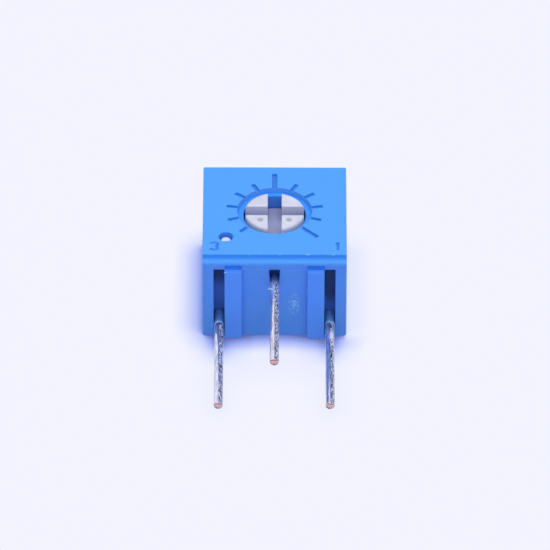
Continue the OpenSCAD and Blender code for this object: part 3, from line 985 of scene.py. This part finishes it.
def wire(name, path, node, tin, copper, x):
    """A tinned wire whose cut end, at the path's start, is bare copper."""
    ring_count, sides = 6, 48
    tip = Vector(path[0])
    made = sweep(name, path, lambda i, t: tin_radius(path[i][1], x, t), sides)
    mesh = made.data
    bm = bmesh.new()
    bm.from_mesh(mesh)
    end = min(bm.faces, key=lambda f: f.calc_center_median().y)
    for k in range(ring_count):
        share = 0.08 if k == 0 else 0.16
        bmesh.ops.inset_region(bm, faces=[end], thickness=wire_r * share, depth=0)
    for v in bm.verts:
        if v.co.y > tip.y + 1e-4:
            continue
        across = v.co - tip
        height = across.z / wire_r
        lump = noise.noise(v.co * 9.0 + Vector((x, 0, 0)))
        v.co.y += SHEAR_LEAN * (1 - height) + SHEAR_LUMP * lump
        if across.length > 0.85 * wire_r:
            v.co.y += SHEAR_BURR
    for face in bm.faces:
        centre = face.calc_center_median()
        across = centre - tip
        bare = wire_r if across.z < 0 else 0.95 * wire_r
        cut = (centre.y < tip.y + 0.14 and face.normal.y < -0.4 and math.hypot(across.x, across.z) < bare
               and across.z < 0.62 * wire_r)
        face.material_index = 1 if cut else 0
    bm.to_mesh(mesh)
    bm.free()
    mesh.materials.append(tin)
    mesh.materials.append(copper)
    mesh.shade_smooth()
    finish_piece(made, name, "body", [node])


def straight(x, z, y0, y1, spacing=0.035):
    steps = max(2, round((y1 - y0) / spacing))
    return [(x, y0 + (y1 - y0) * i / steps, z) for i in range(steps + 1)]


def side_path(s):
    return straight(s * grid, wire_z, tip_y, seat_y) + straight(s * grid, wire_z, seat_y, side_end_y, 0.1)[1:]


def mid_path():
    """Straight through the wall, down behind it, and back under the ceramic plate."""
    path = straight(0, mid_z, tip_y, seat_y) + straight(0, mid_z, seat_y, drop_y - bend_r, 0.1)[1:]
    path += [(0, y, z) for y, z in arc(drop_y - bend_r, mid_z - bend_r, bend_r, 90, 0, 8)[1:]]
    path += [(0, y, z) for y, z in arc(drop_y + bend_r, wire_z + bend_r, bend_r, 180, 270, 8)]
    return path + straight(0, wire_z, drop_y + bend_r, mid_end_y, 0.3)[1:]


def make_wires():
    tin, copper = tinned_wire(), cut_copper()
    wire("wire_1", side_path(1), "pin_1", tin, copper, 1.0)
    wire("wire_2", mid_path(), "pin_2", tin, copper, 2.0)
    wire("wire_3", side_path(-1), "pin_3", tin, copper, 3.0)


def make_whisker():
    """A sliver of solder left on the middle wire, forked at its end."""
    sliver = [(-0.08, -4.34, 0.19), (-0.17, -4.27, 0.17), (-0.24, -4.24, 0.15), (-0.31, -4.25, 0.16)]
    fork = [(-0.17, -4.27, 0.17), (-0.21, -4.20, 0.18), (-0.25, -4.13, 0.20)]
    sliver, fork = ([(x, y, mid_z + z) for x, y, z in path] for path in (sliver, fork))
    made = sweep("whisker", sliver, lambda i, t: 0.026 - 0.005 * i, 10)
    combine(made, [sweep("fork", fork, lambda i, t: 0.018 - 0.004 * i, 10)], "UNION")
    made.data.materials.append(solder_metal("whisker_metal"))
    made.data.shade_smooth()
    finish_piece(made, "solder_whisker", "body")


# Scraps of moulding flash: their tones, the front edge in Y and Z, and then for each scrap its place, its
# length along X and its thickness

FLASH_DEEP, FLASH_PALE = (0.22, 0.55, 0.98), (0.45, 0.72, 1.0)
EDGE = (plate_y - 0.004, body_h - 0.004)
FLASH = [
    ((1.52, *EDGE), 0.11, 0.016),
    ((2.68, *EDGE), 0.07, 0.014),
    ((0.24, *EDGE), 0.06, 0.010),
    ((-1.15, *EDGE), 0.05, 0.009),
    ((-2.27, seat_y + 0.02, slot_top - 0.01), 0.05, 0.020),
]


def make_flash():
    bm = bmesh.new()
    for n, (at, length, thick) in enumerate(FLASH):
        scrap = bmesh.ops.create_icosphere(bm, subdivisions=2, radius=1.0)["verts"]
        for v in scrap:
            v.co += 0.25 * noise.noise_vector(v.co * 1.7 + Vector((n, 0, 0)))
            v.co = Vector((v.co.x * length, v.co.y * thick, v.co.z * thick)) + Vector(at)
    made = new_object("flash", bm)
    s = Shader("flash_blue")
    s.set(Base_Color=s.ramp(s.noise(12.0), FLASH_DEEP, FLASH_PALE, 0.35, 0.65))
    s.set(Roughness=s.ramp(s.noise(20.0), 0.3, 0.5, 0.3, 0.7))
    s.bump((s.noise(18.0), 0.003))
    made.data.materials.append(s.material)
    made.data.shade_smooth()
    finish_piece(made, "moulding_flash", "body")


# The resin and the stake

def make_seal():
    """The cast resin: a slab in the pocket, and its feet round the outer wires."""
    body = box((seal_low.x, pocket_y, 0), (seal_high.x, pocket_back_y, plate_z))
    feet = [box((-mid_slot_w / 2, channel_y, 0), (mid_slot_w / 2, pocket_y + 0.1, plate_z - 0.03))]
    for s in (-1, 1):
        half = side_slot_w / 2
        dome = [(s * grid + x, z) for x, z in arc(0, wire_z, half - 0.012, 0, 180, 24)]
        outline = [(s * grid - half + 0.002, 0.0), (s * grid + half - 0.002, 0.0), *dome]
        rings = [(0.0, 0.012), (-0.012, 0.0), (-0.03, -0.012)]
        sections = [(d, wall_y + y) for d, y in reversed(rings)] + [(0.0, pocket_y + 0.05)]
        feet.append(loft("foot", [[(x, y, z) for x, z in offset(outline, d)] for d, y in sections]))
    combine(body, feet, "UNION")
    smooth(body)
    body.data.materials.append(cast_resin())
    finish_piece(body, "cast_back", "body", ["back_seal"])


def make_stake():
    """The stub in the corner hole, its end notched where it was sheared."""
    cx, cy = (stake_low.x + stake_high.x) / 2, (stake_low.y + stake_high.y) / 2
    r = (stake_high.x - stake_low.x) / 2
    top = stake_high.z
    profile = [(r, stake_low.z), (r, top - 0.05), (r * 0.9, top - 0.012), (r * 0.72, top),
               (r * 0.4, top + 0.006), (r * 0.1, top)]
    body = turned(profile, 48, cx, cy)
    notch = turned([(0.05, top - 0.08), (0.10, top + 0.2)], 24, cx + 0.01, cy - r * 0.55)
    combine(body, [notch], "DIFFERENCE")
    smooth(body, 40)
    body.data.materials.append(stake_metal())
    finish_piece(body, "stake_end", "body", ["corner_stake"])


def dress_inner_nodes():
    """Materials for the construction's own meshes that stay inside the housing."""
    silver = fired_ink("silver_ink", (0.50, 0.50, 0.46), (0.66, 0.66, 0.62), 0.7)
    cermet = fired_ink("cermet_ink", (0.02, 0.02, 0.022), (0.05, 0.05, 0.052), 0.0)
    solder, spring, ceramic = solder_metal(), spring_alloy(), alumina()
    finishes = {
        "wiper_spring": spring, "substrate": ceramic, "resistive_track": cermet, "collector_track": silver,
        "end_pad_1": silver, "end_pad_3": silver, "solder_1": solder, "solder_2": solder, "solder_3": solder,
    }
    for node, finish in finishes.items():
        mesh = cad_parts[node].data
        mesh.materials.clear()
        mesh.materials.append(finish)


# Floor, light and camera

VIEW_ELEVATION = 37.97
VIEW_ROLL = 0.15
VIEW_DISTANCE = 381.0
VIEW_CENTRE = (0.022, 0.879, 0.06)
LENS, SENSOR = 537.6, 36.0
PALE = (0.895, 0.90, 1.0)
PAPER = (0.84, 0.84, 0.965)

# The floor's tones from the deepest contact shadow out to the open paper

FLOOR_STOPS = [
    (0.42, (0.11, 0.14, 0.44)),
    (0.57, (0.27, 0.36, 0.86)),
    (0.72, (0.50, 0.57, 0.97)),
    (0.89, (0.755, 0.79, 1.0)),
    (1.0, PALE),
]

# The even light, and what the metal mirrors from the side of the bright card to the dim side

SKY, SKY_STRENGTH = (0.93, 0.95, 1.06), 0.55
MIRROR_STOPS = [
    (0.47, (1.05, 1.05, 1.14)),
    (0.53, (0.06, 0.06, 0.13)),
    (0.66, (0.06, 0.06, 0.14)),
    (0.76, (0.22, 0.27, 0.58)),
]

# The one lamp, a wide soft sun a little to the front and the right

KEY_ENERGY, KEY_TONE, KEY_SPREAD = 1.44, (1.0, 1.0, 1.06), 55
KEY_FROM = (0.10, -0.20, 1.0)


def make_floor():
    """Pale paper. The camera sees it evenly lit, with the soft contact shadow of what stands near."""
    reach = 3.0
    bm = bmesh.new()
    bm.faces.new([bm.verts.new((x * reach, y * reach, -2e-6)) for x, y in ((-2, -1), (2, -1), (0, 2))])
    floor = new_object("floor", bm)
    s = Shader("floor_paper")
    s.set(Base_Color=PAPER, Roughness=0.9, Specular_IOR_Level=0.1)
    near = s.node("ShaderNodeAmbientOcclusion", samples=16)
    near.inputs["Distance"].default_value = 1.5 * MM
    tone = s.node("ShaderNodeValToRGB")
    fill_ramp(tone.color_ramp, FLOOR_STOPS)
    lit, seen = s.node("ShaderNodeEmission"), s.node("ShaderNodeMixShader")
    across, along = s.axis("X"), s.axis("Y")
    # Painted light beside and in front of the body weakens the painted contact shadow there
    lit_right = s.rise(across, side - 0.1, side + 0.06, 0.74)
    lit_left = s.fall(across, -side - 0.3, -side, 0.12)
    lit_side = s.times(s.math("ADD", lit_right, lit_left), s.rise(along, seat_y - 0.3, seat_y + 0.3))
    lit_front = s.fall(along, -5.9, -4.35, 0.88)
    shade = s.times(s.rest_of(near.outputs["AO"]), s.rest_of(s.math("MAXIMUM", lit_side, lit_front)))
    # A wide painted shade on the floor in front of the body
    wide = s.times(s.rise(along, -7.6, -5.2, 0.05), s.fall(s.math("ABSOLUTE", across), 1.6, 3.3),
                   s.fall(along, seat_y, seat_y + 0.4))
    s.link(s.rest_of(s.math("ADD", shade, wide)), tone.inputs["Fac"])
    s.link(tone.outputs["Color"], lit.inputs["Color"])
    s.link(s.node("ShaderNodeLightPath").outputs["Is Camera Ray"], seen.inputs["Fac"])
    s.link(s.bsdf.outputs[0], seen.inputs[1])
    s.link(lit.outputs[0], seen.inputs[2])
    s.link(seen.outputs[0], s.tree.nodes["Material Output"].inputs["Surface"])
    floor.data.materials.append(s.material)


def make_world():
    """Even light, with the pale backdrop for the camera and a dim side for reflections."""
    world = bpy.data.worlds.new("studio")
    bpy.context.scene.world = world
    world.use_nodes = True
    tree = world.node_tree
    tree.nodes.clear()
    out, path = add_node(tree, "ShaderNodeOutputWorld"), add_node(tree, "ShaderNodeLightPath")
    sky, pale, glossy = (add_node(tree, "ShaderNodeBackground") for _ in range(3))
    sky.inputs["Color"].default_value = (*SKY, 1)
    sky.inputs["Strength"].default_value = SKY_STRENGTH
    pale.inputs["Color"].default_value = (*PALE, 1)
    where, side_of = add_node(tree, "ShaderNodeTexCoord"), add_node(tree, "ShaderNodeSeparateXYZ")
    tree.links.new(where.outputs["Generated"], side_of.inputs[0])
    ramp = add_node(tree, "ShaderNodeValToRGB")
    fill_ramp(ramp.color_ramp, MIRROR_STOPS)
    turn = add_node(tree, "ShaderNodeMapRange")
    for key, value in (("From Min", -1.0), ("From Max", 1.0), ("To Min", 0.0), ("To Max", 1.0)):
        turn.inputs[key].default_value = value
    tree.links.new(side_of.outputs["X"], turn.inputs["Value"])
    tree.links.new(turn.outputs["Result"], ramp.inputs["Fac"])
    tree.links.new(ramp.outputs["Color"], glossy.inputs["Color"])
    mixed, seen = add_node(tree, "ShaderNodeMixShader"), add_node(tree, "ShaderNodeMixShader")
    tree.links.new(path.outputs["Is Glossy Ray"], mixed.inputs["Fac"])
    tree.links.new(sky.outputs[0], mixed.inputs[1])
    tree.links.new(glossy.outputs[0], mixed.inputs[2])
    tree.links.new(path.outputs["Is Camera Ray"], seen.inputs["Fac"])
    tree.links.new(mixed.outputs[0], seen.inputs[1])
    tree.links.new(pale.outputs[0], seen.inputs[2])
    tree.links.new(seen.outputs[0], out.inputs["Surface"])


def make_lights():
    key = bpy.data.lights.new("key", "SUN")
    key.energy, key.color, key.angle = KEY_ENERGY, KEY_TONE, math.radians(KEY_SPREAD)
    lamp = bpy.data.objects.new("key", key)
    bpy.context.scene.collection.objects.link(lamp)
    toward = Vector(KEY_FROM)
    lamp.rotation_euler = toward.to_track_quat("Z", "Y").to_euler()
    lamp.location = toward * 0.2


def make_camera():
    data = bpy.data.cameras.new("camera")
    data.lens, data.sensor_width = LENS, SENSOR
    data.clip_start, data.clip_end = 0.01, 20.0
    camera = bpy.data.objects.new("camera", data)
    bpy.context.scene.collection.objects.link(camera)
    rise = math.radians(VIEW_ELEVATION)
    away = Vector((0, -math.cos(rise), math.sin(rise))) * VIEW_DISTANCE
    turn = Matrix.Rotation(math.pi / 2 - rise, 4, "X") @ Matrix.Rotation(math.radians(VIEW_ROLL), 4, "Z")
    camera.matrix_world = Matrix.Translation((Vector(VIEW_CENTRE) + away) * MM) @ turn
    bpy.context.scene.camera = camera


make_camera()
make_housing()
make_rotor()
make_wires()
make_whisker()
make_flash()
make_seal()
make_stake()
dress_inner_nodes()
make_floor()
make_world()
make_lights()
bpy.context.scene.view_settings.view_transform = "Standard"
